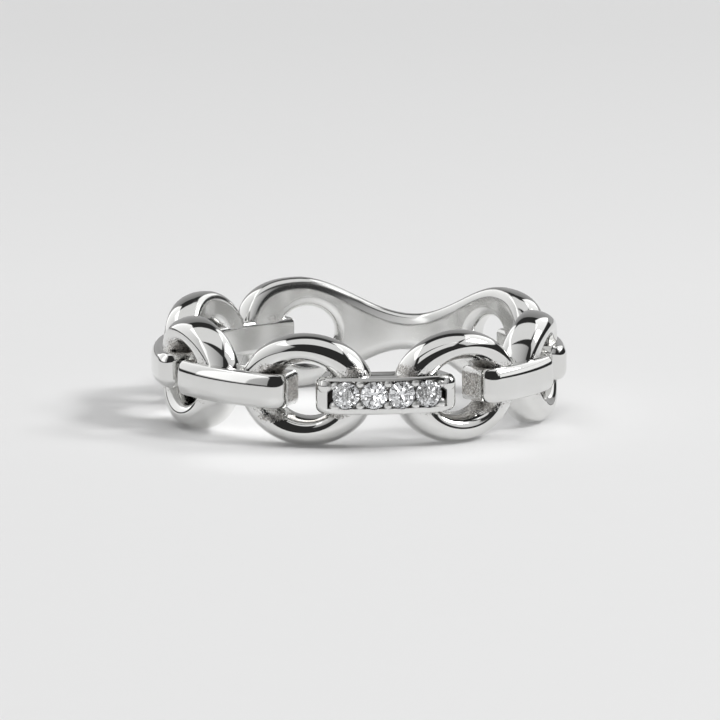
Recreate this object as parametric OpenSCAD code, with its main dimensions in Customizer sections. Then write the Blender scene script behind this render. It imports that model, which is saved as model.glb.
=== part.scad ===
// A finger ring of round links and bar links. It lies flat, with the finger's axis along Z.
// The origin is on the axis, at mid height. Angles run round the finger from the front (-Y)
// towards +X, so the shank's narrow middle is at 180.

/* [Finger bore] */
// Inside diameter of the ring
bore_d = 17.3; // [16.5:0.1:18.1]

/* [Round links] */
// Height of a round link along the finger
link_h = 5.95; // [5.7:0.05:6.2]
// Thickness of a round link at its crown, outwards from the bore
link_t = 1.85; // [1.8:0.01:1.95]
// Height of the hole in a round link
hole_h = 2.8; // [2.7:0.05:3]
// Length of that hole round the finger
hole_len = 3.6; // [3.55:0.05:3.7]
// Angle from the middle of a round link to its end
link_half = 22.3; // [21.4:0.1:22.3]
// Angle from the front link to the link on its right
right_step = 50.3; // [50:0.1:50.6]
// Angle from the front link to the link on its left
left_step = 49.3; // [49:0.1:50]
// Angle from the left link to the side link behind it
left_side_step = 49.2; // [49:0.1:49.4]
// Angle from the right link to the side link behind it
right_side_step = 44.8; // [44.7:0.1:46]

/* [Bar links] */
// Height of a bar along the finger
bar_h = 1.85; // [1.7:0.05:1.9]
// Thickness of a bar, outwards from the bore
bar_t = 2.35; // [2.3:0.01:2.45]
// Thickness of the outer strap of a bar
strap_t = 0.8; // [0.75:0.01:0.85]
// Thickness of the inner rail of a bar
rail_t = 0.5; // [0.45:0.01:0.55]
// Angle from the middle of a link's hole to the end of the bar in it
bar_end = 5.3; // [5:0.1:5.6]
// Angle from the middle of a link's hole to the slot in that bar
slot_end = 10.2; // [10:0.1:10.3]
// Radius of the long outer edges of a plain bar
bar_edge = 0.38; // [0.2:0.02:0.44]
// Radius of the edges at the bore and of the outer corners at a bar's ends
bar_soft = 0.3; // [0.2:0.02:0.34]
// Radius of the upper and lower corners at a bar's ends
bar_side = 0.32; // [0.2:0.02:0.36]

/* [Shank] */
// Angle from the middle of the shank to the middle of the hole in its end loop
loop_at = 35; // [34.8:0.1:35.2]
// Angle from the middle of the shank to the top of its end loop
crest_at = 38.4; // [38:0.1:39]
// Angle from the middle of the shank to the far end of its end loop
loop_end = 59; // [58:0.1:59.1]
// Height of the shank at its narrow middle
waist_h = 1.93; // [1.7:0.05:2.2]
// Thickness of the shank at its narrow middle
waist_t = 1.7; // [1.5:0.05:1.8]

/* [Stones] */
// Diameter of a stone
stone_d = 1.44; // [1.4:0.01:1.45]
// Angle from one stone to the next
stone_step = 7.8; // [7.75:0.01:7.9]
// Height of the crown, from the girdle to the table
crown_h = 0.2; // [0.18:0.01:0.22]
// Depth of the pavilion, from the girdle to the culet
pavilion_h = 0.6; // [0.5:0.02:0.6]
// How far the tables stand out of the bar
table_proud = 0.06; // [0.04:0.01:0.08]
// Depth of the milled channel that holds the stones
channel_depth = 0.2; // [0.15:0.01:0.22]
// Width of the rim above and below the channel
rim_w = 0.15; // [0.12:0.01:0.16]
// Radius of a bead
bead_r = 0.18; // [0.14:0.01:0.19]

/* [Hidden] */

metal = [0.84, 0.84, 0.85];
metal_dark = [0.74, 0.74, 0.76];
clear_stone = [0.88, 0.93, 0.97];

// Clearance between two pieces of metal
gap = 0.05;
// Clearance between a stone and its seat
seat_gap = 0.015;
// Extra length that carries a cutter past what it cuts
over = 0.5;
// What the round links and the shank have inside the bore before it is cut
bore_stock = 0.06;

bore_r = bore_d / 2;
link_r = bore_r + link_t;
bar_r = bore_r + bar_t;
rail_r = bore_r + rail_t;
slot_r = bar_r - strap_t;
waist_r = bore_r + waist_t;

// The wire of a link: its width at the top, and where it is widest, as a share of its thickness
wire_w = (link_h - hole_h) / 2;
widest = 0.3;
// Share of the wire's half width that its edges at the bore are rounded over
inner_round = 0.4;
// The room for a bar in the end of a link: its height, the radii of the wire that is left between
// rail and strap, and the angles from the middle of the hole where it starts, passes the bar's end
// post and ends
room_h = bar_h + gap;
room_in = rail_r + gap;
room_out = slot_r - gap;
room_start = 7.5;
room_post = slot_end + 0.35;
room_end = 30;

// Counts of steps: round a link's hole, across its wire, and along half the shank's bridge
rays = 32;
across = 8;
bridge_steps = 7;
// The bridge of the shank meets its end loops at this angle, and has this many steps of height
bridge_end = 19.4;
bridge_rows = 12;
// How square the far end of the shank's end loop is, where 2 would be an ellipse
loop_square = 2.5;

function smooth(x) = let (t = max(0, min(1, x))) t * t * (3 - 2 * t);
function mix(a, b, t) = a + (b - a) * t;
function polar(r, a, z) = [r * sin(a), -r * cos(a), z];
// A rounded edge: 0 on the edge, 1 from the width w inwards
function round_edge(d, w) = sqrt(max(0, 1 - pow(1 - min(1, max(0, d / w)), 2)));
// A sine or cosine bent to a squarer ellipse
function squared(x, p) = sign(x) * pow(abs(x), 2 / p);
// Points of an arc in n steps
function arc(cx, cy, r, a0, a1, n) = [for (i = [0:n]) let (
    a = mix(a0, a1, i / n)
) [cx + r * cos(a), cy + r * sin(a)]];

// Radius of one point of a wire or of the bridge. side is 1 on the outer face and 0 at the bore,
// edge is the distance to the outline and hole the distance to the hole
function skin_r(side, crown, edge, hole) = let (
    half = side == 1 ? wire_w / 2 : wire_w / 2 * inner_round,
    goal = side == 1 ? crown : bore_r - bore_stock
) mix(mix(bore_r, crown, widest), goal, round_edge(edge, half) * round_edge(hole, half));

// Angle round the finger of a point at the share f of the way from a hole's straight wall to the outline
function ray_angle(psi, f, r, outline) = mix(asin(hole_len / 2 * cos(psi) / r), outline, f);
// Share of the way across at column k, closer together near both edges
function share(k) = (1 - cos(180 * k / across)) / 2;
// Length of an arc of the given angle at the middle of the metal
function rad_len(a) = PI * a / 180 * (bore_r + link_r) / 2;

// The two triangles of a four-sided face
function quad(a, b, c, d, flip) = flip ? [[a, c, b], [a, d, c]] : [[a, b, c], [a, c, d]];

// Points of a free link whose middle is at angle 0, as [side][ray][column]
function link_points() = [for (side = [1, 0]) for (j = [0:rays - 1]) for (k = [0:across]) let (
    psi = 360 * j / rays,
    f = share(k),
    z = mix(hole_h / 2, link_h / 2, f) * sin(psi),
    width = mix(wire_w, rad_len(link_half) - hole_len / 2, pow(cos(psi), 2)),
    r = skin_r(side, link_r, (1 - f) * width, f * width)
) polar(r, ray_angle(psi, f, r, link_half * cos(psi)), z)];

// Faces of a free link: a closed band of quads on each side, the outer one first
function link_faces() = let (side_n = rays * (across + 1)) [
    for (s = [0, 1]) for (j = [0:rays - 1]) for (k = [0:across - 1]) let (
        a = s * side_n + j * (across + 1) + k,
        b = s * side_n + ((j + 1) % rays) * (across + 1) + k
    ) each quad(a, b, b + 1, a + 1, s == 1)
];

module bore_cut() {
    cylinder(r = bore_r, h = link_h + 2 * over, center = true, $fn = 96);
}

// What turns about the finger from the angle a to b
module sweep(a, b) {
    rotate([0, 0, a - 90]) rotate_extrude(angle = b - a, $fn = 180) children();
}

// One block of the room for a bar, between two angles and two radii
module room(a, b, low, high) {
    sweep(a, b) translate([low, -room_h / 2]) square([high - low, room_h]);
}

// Room for the bar that lies towards +X from a hole whose middle is at the front
module bar_room() {
    low = bore_r - over;
    high = bar_r + over;
    room(room_start, room_end, low, room_in);
    room(room_start, room_end, room_out, high);
    room(room_start, room_post, low, high);
}

module round_link(at) {
    color(metal)
    rotate([0, 0, at])
    difference() {
        polyhedron(points = link_points(), faces = link_faces(), convexity = 6);
        bore_cut();
        bar_room();
        mirror([1, 0, 0]) bar_room();
    }
}

// Half height of the shank's outline at the angle t from its middle: a wave from the waist to the crest
function wave(t) = mix(waist_h, link_h, (1 - cos(180 * t / crest_at)) / 2) / 2;
function shank_crown(t) = mix(waist_r, link_r, smooth(abs(t) / loop_at));

// Heights of the rows of the bridge, as a share of the half height, from the top down
function row_share(i) = cos(180 * i / bridge_rows);
// Rays of an end loop: ray 0 points away from the shank's middle. The last rays on each side of
// 180 degrees end on the bridge, the others on the outline
loop_rays = 32;
first_bridge_ray = (loop_rays - bridge_rows) / 2;
function is_bridge_ray(j) = j >= first_bridge_ray && j <= loop_rays - first_bridge_ray;
// Where ray j ends, as [angle from the shank's middle, height]
function loop_outline(j) = let (
    quarter = 6,
    m = min(j, loop_rays - j),
    up = j <= loop_rays / 2 ? 1 : -1,
    turn = 90 * m / quarter,
    t = mix(crest_at, bridge_end, (m - quarter) / (first_bridge_ray - quarter)),
    far = squared(cos(turn), loop_square),
    high = squared(sin(turn), loop_square)
) is_bridge_ray(j) ? [bridge_end, wave(bridge_end) * row_share(j - first_bridge_ray)]
    : m <= quarter ? [mix(crest_at, loop_end, far), up * link_h / 2 * high]
    : [t, up * wave(t)];
// The direction in which ray j leaves the hole
function loop_turn(j) = let (
    quarter = 6,
    m = min(j, loop_rays - j),
    a = m <= quarter ? 90 * m / quarter : 90 + 90 * (m - quarter) / (loop_rays / 2 - quarter)
) j <= loop_rays / 2 ? a : -a;

// One point of an end loop, on the side of the shank where angles grow
function loop_point(side, j, k) = let (
    psi = loop_turn(j),
    goal = loop_outline(j),
    f = share(k),
    z = mix(hole_h / 2 * sin(psi), goal[1], f),
    mid = mix(loop_at + asin(hole_len / 2 * cos(psi) / link_r), goal[0], f),
    span = norm([rad_len(goal[0] - loop_at) - hole_len / 2 * cos(psi), goal[1] - hole_h / 2 * sin(psi)]),
    edge = is_bridge_ray(j) && k == across ? wave(mid) - abs(z)
        : cos(psi) < -0.001 ? mix(1, 0.9, f) * (wave(mid) - abs(z)) : (1 - f) * span,
    hole = is_bridge_ray(j) && k == across ? wire_w : f * span,
    r = skin_r(side, shank_crown(mid), k == across && !inner_bridge_ray(j) ? 0 : edge, hole)
) polar(r, 180 + mix(loop_at + asin(hole_len / 2 * cos(psi) / r), goal[0], f), z);
function inner_bridge_ray(j) = j > first_bridge_ray && j < loop_rays - first_bridge_ray;

// One point of the bridge at the angle t from the shank's middle, on row i
function bridge_point(side, t, i) = let (
    z = wave(t) * row_share(i),
    edge = i == 0 || i == bridge_rows ? 0 : wave(t) - abs(z),
    r = skin_r(side, shank_crown(t), edge, wire_w)
) polar(r, 180 + t, z);

module shank() {
    loop_n = loop_rays * (across + 1);
    bridge_cols = 2 * bridge_steps;
    bridge_n = (bridge_cols + 1) * (bridge_rows + 1);
    flip_x = [[-1, 0, 0], [0, 1, 0], [0, 0, 1]];
    loop = [for (side = [1, 0], j = [0:loop_rays - 1], k = [0:across]) loop_point(side, j, k)];
    bridge = [for (side = [1, 0], c = [0:bridge_cols], i = [0:bridge_rows])
        bridge_point(side, mix(bridge_end, -bridge_end, c / bridge_cols), i)];
    loop_faces = [for (m = [0, 1], s = [0, 1], j = [0:loop_rays - 1], k = [0:across - 1]) let (
        start = 2 * loop_n * m + s * loop_n,
        a = start + j * (across + 1) + k,
        b = start + ((j + 1) % loop_rays) * (across + 1) + k
    ) each quad(a, b, b + 1, a + 1, (s == 1) != (m == 1))];
    bridge_faces = [for (s = [0, 1], c = [0:bridge_cols - 1], i = [0:bridge_rows - 1]) let (
        a = 4 * loop_n + s * bridge_n + c * (bridge_rows + 1) + i,
        b = a + bridge_rows + 1
    ) each quad(a, b, b + 1, a + 1, s == 0)];
    color(metal)
    difference() {
        polyhedron(
            points = concat(loop, [for (p = loop) flip_x * p], bridge),
            faces = concat(loop_faces, bridge_faces),
            convexity = 8
        );
        bore_cut();
        rotate([0, 0, 180 + loop_at]) bar_room();
        rotate([0, 0, 180 - loop_at]) mirror([1, 0, 0]) bar_room();
    }
}

// Section of a bar, with the outer edges rounded to the given radius
function bar_section(edge) = concat(
    arc(bore_r + bar_soft, -bar_h / 2 + bar_soft, bar_soft, 180, 270, 4),
    arc(bar_r - edge, -bar_h / 2 + edge, edge, 270, 360, 5),
    arc(bar_r - edge, bar_h / 2 - edge, edge, 0, 90, 5),
    arc(bore_r + bar_soft, bar_h / 2 - bar_soft, bar_soft, 90, 180, 4)
);

// Rounds the outer corner and the upper and lower corners of one end of a bar. The end lies at the
// front, and the bar towards +X
module end_corners(r, side_r) {
    linear_extrude(height = bar_h + 2 * over, center = true)
    polygon(concat(
        arc(r, -bar_r + r, r, 180, 270, 5),
        [[r, -bar_r - over], [-over, -bar_r - over], [-over, -bar_r + r]]
    ));
    for (s = [0, 1])
        mirror([0, 0, s])
        rotate([90, 0, 0])
        translate([0, 0, bore_r - over])
        linear_extrude(height = bar_t + 2 * over)
        polygon(concat(
            arc(side_r, bar_h / 2 - side_r, side_r, 180, 90, 5),
            [[side_r, bar_h / 2 + over], [-over, bar_h / 2 + over], [-over, bar_h / 2 - side_r]]
        ));
}

// A bar whose strap and rail close round the ends of two links. reach is half the angle between them
module bar(reach, edge) {
    half = reach - bar_end;
    slot = reach - slot_end;
    difference() {
        sweep(-half, half) polygon(bar_section(edge));
        sweep(-slot, slot)
        translate([rail_r, -bar_h / 2 - over])
        square([slot_r - rail_r, bar_h + 2 * over]);
        rotate([0, 0, -half]) end_corners(bar_soft, bar_side);
        mirror([1, 0, 0]) rotate([0, 0, -half]) end_corners(bar_soft, bar_side);
    }
}

// A bar through the holes at the angles a and b
module plain_bar(a, b) {
    color(metal_dark) rotate([0, 0, (a + b) / 2]) bar((b - a) / 2, bar_edge);
}

// Angles of the stones from the middle of their bar, and of the beads at their corners
stone_at = [for (i = [0:3]) (i - 1.5) * stone_step];
bead_at = [for (i = [0:4]) i == 0 || i == 4 ? (i - 2) * stone_step * 0.96 : (i - 2) * stone_step];
channel_half = 16.8;
set_edge = 0.12;
floor_r = bar_r - channel_depth;
girdle_r = bar_r + table_proud - crown_h;
girdle_t = 0.03;
channel_z = bar_h / 2 - rim_w;
bead_z = channel_z - 0.225;

// A seat for one stone: a cone for its pavilion and a straight wall round its girdle
module seat() {
    wall = stone_d / 2 + seat_gap;
    deep = girdle_r - girdle_t - pavilion_h;
    rotate([90, 0, 0]) translate([0, 0, deep]) {
        cylinder(h = pavilion_h, r1 = 2 * seat_gap, r2 = wall, $fn = 48);
        translate([0, 0, pavilion_h]) cylinder(h = over, r = wall, $fn = 48);
    }
}

module bar_stone_set() {
    color(metal_dark)
    rotate([0, 0, right_step / 2])
    difference() {
        union() {
            difference() {
                bar(right_step / 2, set_edge);
                sweep(-channel_half, channel_half)
                translate([floor_r, -channel_z])
                square([over + channel_depth, 2 * channel_z]);
            }
            for (a = bead_at, s = [-1, 1])
                rotate([0, 0, a])
                translate([0, -bar_r + bead_r + 0.01, s * bead_z])
                sphere(r = bead_r, $fn = 24);
        }
        for (a = stone_at) rotate([0, 0, a]) seat();
    }
}

// A round brilliant. Its girdle is at height 0 and its table faces +Z
table_share = 0.57;
star_share = 0.79;
lower_share = 0.3;
stone_rings = let (
    r = stone_d / 2,
    slope = r * (1 - table_share),
    star_z = crown_h * (r - r * star_share * cos(22.5)) / slope,
    lower_z = -girdle_t - pavilion_h * (1 - lower_share * cos(22.5))
) [[table_share * r, crown_h, 0], [star_share * r, star_z, 22.5], [lower_share * r, lower_z, 22.5]];

module stone(i) {
    r = stone_d / 2;
    ring8 = [for (g = stone_rings, n = [0:7]) let (
        a = 45 * n + g[2]
    ) [g[0] * cos(a), g[0] * sin(a), g[1]]];
    ring16 = [for (z = [0, -girdle_t], n = [0:15]) [r * cos(22.5 * n), r * sin(22.5 * n), z]];
    // Places in the list of points: table, stars, lower halves, upper and lower girdle, culet
    star = 8;
    low = 16;
    up_g = 24;
    low_g = 40;
    culet = 56;
    facets = concat(
        [[for (n = [7:-1:0]) n]],
        [for (n = [0:7]) each let (
            m = (n + 1) % 8,
            p = (n + 7) % 8,
            g = 2 * n,
            h = g + 1,
            e = (g + 2) % 16
        ) [
            [n, m, star + n],
            [n, star + n, up_g + g, star + p],
            [star + n, up_g + h, up_g + g],
            [star + n, up_g + e, up_g + h],
            [up_g + g, up_g + h, low_g + h, low_g + g],
            [up_g + h, up_g + e, low_g + e, low_g + h],
            [low + n, low_g + g, low_g + h],
            [low + n, low_g + h, low_g + e],
            [culet, low + p, low_g + g, low + n]
        ]]
    );
    color(clear_stone)
    rotate([0, 0, right_step / 2 + stone_at[i]])
    translate([0, -girdle_r, 0])
    rotate([90, 0, 0])
    polyhedron(
        points = concat(ring8, ring16, [[0, 0, -girdle_t - pavilion_h]]),
        faces = facets,
        convexity = 2
    );
}

// Angles of the free links and of the holes in the shank's end loops
right_at = right_step;
side_right_at = right_step + right_side_step;
left_at = -left_step;
side_left_at = -left_step - left_side_step;
loop_right_at = 180 - loop_at;
loop_left_at = loop_at - 180;

round_link(0);  // link_front
round_link(right_at);  // link_right
round_link(side_right_at);  // link_side_right
round_link(left_at);  // link_left
round_link(side_left_at);  // link_side_left
bar_stone_set();
plain_bar(left_at, 0);  // bar_front_left
plain_bar(right_at, side_right_at);  // bar_right
plain_bar(side_left_at, left_at);  // bar_left
plain_bar(side_right_at, loop_right_at);  // bar_back_right
plain_bar(loop_left_at, side_left_at);  // bar_back_left
shank();
stone(0);  // stone_1
stone(1);  // stone_2
stone(2);  // stone_3
stone(3);  // stone_4
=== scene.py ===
import math

import bmesh
import bpy
import numpy as np
from mathutils import Matrix, Vector


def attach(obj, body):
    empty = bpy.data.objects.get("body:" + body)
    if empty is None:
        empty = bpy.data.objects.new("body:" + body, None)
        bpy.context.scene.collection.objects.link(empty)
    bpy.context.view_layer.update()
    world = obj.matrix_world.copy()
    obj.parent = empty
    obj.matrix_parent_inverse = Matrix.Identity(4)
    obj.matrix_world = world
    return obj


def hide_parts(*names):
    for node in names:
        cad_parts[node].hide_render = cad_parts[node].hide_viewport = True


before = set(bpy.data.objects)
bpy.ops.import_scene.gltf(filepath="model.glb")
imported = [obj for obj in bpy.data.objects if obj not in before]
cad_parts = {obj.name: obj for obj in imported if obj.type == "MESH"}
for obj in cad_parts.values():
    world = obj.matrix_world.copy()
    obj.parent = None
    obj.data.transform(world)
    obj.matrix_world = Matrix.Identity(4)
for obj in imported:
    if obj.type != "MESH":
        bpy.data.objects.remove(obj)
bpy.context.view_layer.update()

# The ring's lengths are in millimetres, and its angles in degrees, counted round the finger from
# the front (-Y) towards +X. Only the last step of each piece turns them into metres. The studio's
# own lengths are in metres.
mm = 0.001
boreR = 8.65
ringHalf = 2.975  # half of the ring's height
cameraAt = 17.05  # the camera looks at this angle of the ring

linkAngles = {
    "link_front": 0.0,
    "link_right": 50.3,
    "link_side_right": 95.1,
    "link_left": -49.3,
    "link_side_left": -98.5,
}
loopAngles = (145.0, -145.0)  # the holes of the shank's two loops


def mix(a, b, t):
    return a + (b - a) * t


def smooth(x):
    x = np.clip(x, 0, 1)
    return x * x * (3 - 2 * x)


def roundEdge(distance, width):
    # 0 on an edge, 1 from the given width inwards, with a round profile between
    t = 1 - np.clip(distance / width, 0, 1)
    return np.sqrt(np.clip(1 - t * t, 0, 1))


def polar(radius, angle, z):
    a = np.radians(angle)
    return np.stack(np.broadcast_arrays(radius * np.sin(a), -radius * np.cos(a), z), -1)


def heading(turn):
    # turn is counted from the camera's own direction, to its right
    a = math.radians(cameraAt + turn)
    return Vector((math.sin(a), -math.cos(a), 0))


def hexToLinear(code):
    # sRGB hex to the linear colour that the shaders take
    values = [int(code[i:i + 2], 16) / 255 for i in (1, 3, 5)]
    return [v / 12.92 if v <= 0.04045 else ((v + 0.055) / 1.055) ** 2.4 for v in values] + [1.0]


def shadeSmooth(obj, smoothly=True):
    for face in obj.data.polygons:
        face.use_smooth = smoothly


def meshObject(name, points, faces):
    mesh = bpy.data.meshes.new(name)
    mesh.from_pydata((np.asarray(points) * mm).tolist(), [], faces)
    mesh.update()
    obj = bpy.data.objects.new(name, mesh)
    bpy.context.scene.collection.objects.link(obj)
    shadeSmooth(obj)
    return obj


def markPoints(obj, rule, layerName="castSkinAndShade"):
    # keeps a value at each point, such as how much of the dull cast skin is left there, and in the
    # stone channel how much painted shade, which rule gives for its radius, angle and height
    mesh = obj.data
    place = np.empty(len(mesh.vertices) * 3)
    mesh.vertices.foreach_get("co", place)
    x, y, z = place.reshape(-1, 3).T / mm
    marks = rule(np.hypot(x, y), np.degrees(np.arctan2(x, -y)), z)
    layer = mesh.attributes.get(layerName) or mesh.attributes.new(layerName, "FLOAT", "POINT")
    layer.data.foreach_set("value", marks.astype(np.float32))
    return obj


def angleFrom(angle, middle):
    # the angle from the middle, between -180 and 180
    return (angle - middle + 180) % 360 - 180


def closedGrid(rows, columns):
    # faces of a grid that closes on itself both ways
    faces = []
    for j in range(rows):
        below = ((j + 1) % rows) * columns
        for k in range(columns):
            n = (k + 1) % columns
            faces.append((j * columns + k, j * columns + n, below + n, below + k))
    return faces


def outwards(obj):
    # turns all faces to point out of the closed piece
    work = bmesh.new()
    work.from_mesh(obj.data)
    bmesh.ops.recalc_face_normals(work, faces=work.faces)
    work.to_mesh(obj.data)
    work.free()
    return obj


pieces = {}


def finishPiece(obj, material, node):
    pieces[node] = obj
    obj.data.materials.clear()
    obj.data.materials.append(material)
    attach(obj, "root")
    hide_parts(node)


def addNode(tree, kind, settings=None, values=None, links=None):
    # adds a node, sets its properties and input values, and links its inputs
    node = tree.nodes.new(kind)
    for key, value in (settings or {}).items():
        setattr(node, key, value)
    for key, value in (values or {}).items():
        node.inputs[key].default_value = value
    for key, source in (links or {}).items():
        tree.links.new(source, node.inputs[key])
    return node


def newMaterial(name):
    material = bpy.data.materials.new(name)
    material.use_nodes = True
    tree = material.node_tree
    tree.nodes.clear()
    return material, tree


def polishedWhiteGold():
    # White gold, cast, polished and rhodium plated: a bright, very slightly warm mirror, with soft
    # polishing waves. The bore is only brushed smooth, so it looks satin, and a dull grey skin is
    # left in the corners that the wheel doesn't reach. The stone channel's ends get painted shade,
    # near black
    look = {
        "polished": "#E9E9E8",
        "handled": "#E0E0DE",
        "skinDark": "#8A8682",
        "skinLight": "#DCD8D4",
        "pocketShade": "#383634",  # painted shade for the deepest places, the stone channel's ends
        "roughness": 0.04,
        "hazeRoughness": 0.075,
        "boreRoughness": 0.18,
        "mattRoughness": 0.3,
        "skinRoughness": 0.45,
        "waveMm": 1.6,  # length of the waves that a polishing wheel leaves
        "waveDeepMm": 0.006,
        "waveStrength": 0.25,
        "pitMm": 0.08,  # grain of the cast skin
        "pitDeepMm": 0.03,
        "pitStrength": 0.5,
        "lumpMm": 0.15,  # patches of lighter and darker cast skin
        # each of these goes from none to all of its effect over the two values
        "haze": (0.35, 0.75),
        "lumps": (0.35, 0.65),
        "skin": (0.88, 1.16),
        # the pocket range turns the highest marks, at the channel's ends, into painted shade
        "pocket": (0.75, 0.9),
        "satin": ((boreR + 0.65) * mm, (boreR + 0.1) * mm),
    }
    material, tree = newMaterial("whiteGoldCastPolishedRhodium")
    place = addNode(tree, "ShaderNodeTexCoord")
    haze = addNode(tree, "ShaderNodeTexNoise",
                   values={"Scale": 1 / (look["waveMm"] * mm), "Detail": 3.0, "Roughness": 0.55},
                   links={"Vector": place.outputs["Object"]})
    pits = addNode(tree, "ShaderNodeTexNoise",
                   values={"Scale": 1 / (look["pitMm"] * mm), "Detail": 2.0, "Roughness": 0.5},
                   links={"Vector": place.outputs["Object"]})
    lumps = addNode(tree, "ShaderNodeTexNoise",
                    values={"Scale": 1 / (look["lumpMm"] * mm), "Detail": 3.0, "Roughness": 0.6},
                    links={"Vector": place.outputs["Object"]})
    flat = addNode(tree, "ShaderNodeVectorMath", {"operation": "MULTIPLY"}, {1: (1, 1, 0)},
                   {0: place.outputs["Object"]})
    radius = addNode(tree, "ShaderNodeVectorMath", {"operation": "LENGTH"},
                     links={0: flat.outputs["Vector"]})
    satin = addNode(tree, "ShaderNodeMapRange", None,
                    {"From Min": look["satin"][0], "From Max": look["satin"][1]},
                    {"Value": radius.outputs["Value"]})
    mark = addNode(tree, "ShaderNodeAttribute", {"attribute_name": "castSkinAndShade"})
    matt = addNode(tree, "ShaderNodeAttribute", {"attribute_name": "mattMark"})
    # the skin's edge is broken up by the same grain
    ragged = addNode(tree, "ShaderNodeMath", {"operation": "ADD"},
                     links={0: mark.outputs["Fac"], 1: pits.outputs["Fac"]})
    skin = addNode(tree, "ShaderNodeMapRange", {"interpolation_type": "SMOOTHSTEP"},
                   {"From Min": look["skin"][0], "From Max": look["skin"][1]},
                   {"Value": ragged.outputs["Value"]})
    tone = addNode(tree, "ShaderNodeMix", {"data_type": "RGBA"},
                   {6: hexToLinear(look["polished"]), 7: hexToLinear(look["handled"])},
                   {0: haze.outputs["Fac"]})
    patches = addNode(tree, "ShaderNodeMapRange", None,
                      {"From Min": look["lumps"][0], "From Max": look["lumps"][1]},
                      {"Value": lumps.outputs["Fac"]})
    dull = addNode(tree, "ShaderNodeMix", {"data_type": "RGBA"},
                   {6: hexToLinear(look["skinDark"]), 7: hexToLinear(look["skinLight"])},
                   {0: patches.outputs["Result"]})
    # painted shade: where the marks run highest the skin darkens towards near black
    deep = addNode(tree, "ShaderNodeMapRange", None,
                   {"From Min": look["pocket"][0], "From Max": look["pocket"][1]},
                   {"Value": mark.outputs["Fac"]})
    skinWithPaintedShade = addNode(tree, "ShaderNodeMix", {"data_type": "RGBA"},
                      {7: hexToLinear(look["pocketShade"])},
                      {0: deep.outputs["Result"], 6: dull.outputs[2]})
    colour = addNode(tree, "ShaderNodeMix", {"data_type": "RGBA"}, None,
                     {0: skin.outputs["Result"], 6: tone.outputs[2], 7: skinWithPaintedShade.outputs[2]})
    gloss = addNode(tree, "ShaderNodeMapRange", None,
                    {"From Min": look["haze"][0], "From Max": look["haze"][1],
                     "To Min": look["roughness"], "To Max": look["hazeRoughness"]},
                    {"Value": haze.outputs["Fac"]})
    inside = addNode(tree, "ShaderNodeMix", {"data_type": "FLOAT"},
                     {3: look["boreRoughness"]},
                     {0: satin.outputs["Result"], 2: gloss.outputs["Result"]})
    dulled = addNode(tree, "ShaderNodeMix", {"data_type": "FLOAT"},
                     {3: look["mattRoughness"]},
                     {0: matt.outputs["Fac"], 2: inside.outputs[0]})
    rough = addNode(tree, "ShaderNodeMix", {"data_type": "FLOAT"},
                    {3: look["skinRoughness"]},
                    {0: skin.outputs["Result"], 2: dulled.outputs[0]})
    grain = addNode(tree, "ShaderNodeMath", {"operation": "MULTIPLY"},
                    links={0: pits.outputs["Fac"], 1: skin.outputs["Result"]})
    relief = addNode(tree, "ShaderNodeBump", None,
                     {"Strength": look["pitStrength"], "Distance": look["pitDeepMm"] * mm},
                     {"Height": grain.outputs["Value"]})
    waves = addNode(tree, "ShaderNodeBump", None,
                    {"Strength": look["waveStrength"], "Distance": look["waveDeepMm"] * mm},
                    {"Height": haze.outputs["Fac"], "Normal": relief.outputs["Normal"]})
    shader = addNode(tree, "ShaderNodeBsdfPrincipled", None, {"Metallic": 1.0},
                     {"Base Color": colour.outputs[2], "Roughness": rough.outputs[0],
                      "Normal": waves.outputs["Normal"]})
    addNode(tree, "ShaderNodeOutputMaterial", links={"Surface": shader.outputs["BSDF"]})
    return material


def cutClearStone():
    # Clear brilliant, cut and polished to flat facets: a high index gives strong sparkle, and a
    # trace of haze on the facets keeps the darkest ones grey
    look = {
        "clear": "#FFFFFF",
        "tinted": "#F3F6FB",
        "ior": 2.417,
        "clearness": 1.0,
        "cloudMm": 0.5,  # size of the faint clouds in tint and haze
        "haze": 0.03,
    }
    material, tree = newMaterial("clearBrilliantCutPolished")
    place = addNode(tree, "ShaderNodeTexCoord")
    cloud = addNode(tree, "ShaderNodeTexNoise",
                    values={"Scale": 1 / (look["cloudMm"] * mm), "Detail": 2.0},
                    links={"Vector": place.outputs["Object"]})
    tone = addNode(tree, "ShaderNodeMix", {"data_type": "RGBA"},
                   {6: hexToLinear(look["clear"]), 7: hexToLinear(look["tinted"])},
                   {0: cloud.outputs["Fac"]})
    gloss = addNode(tree, "ShaderNodeMapRange", None,
                    {"To Min": 0.0, "To Max": look["haze"]}, {"Value": cloud.outputs["Fac"]})
    shader = addNode(tree, "ShaderNodeBsdfPrincipled", None,
                     {"IOR": look["ior"], "Transmission Weight": look["clearness"]},
                     {"Base Color": tone.outputs[2], "Roughness": gloss.outputs["Result"]})
    addNode(tree, "ShaderNodeOutputMaterial", links={"Surface": shader.outputs["BSDF"]})
    return material


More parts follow.
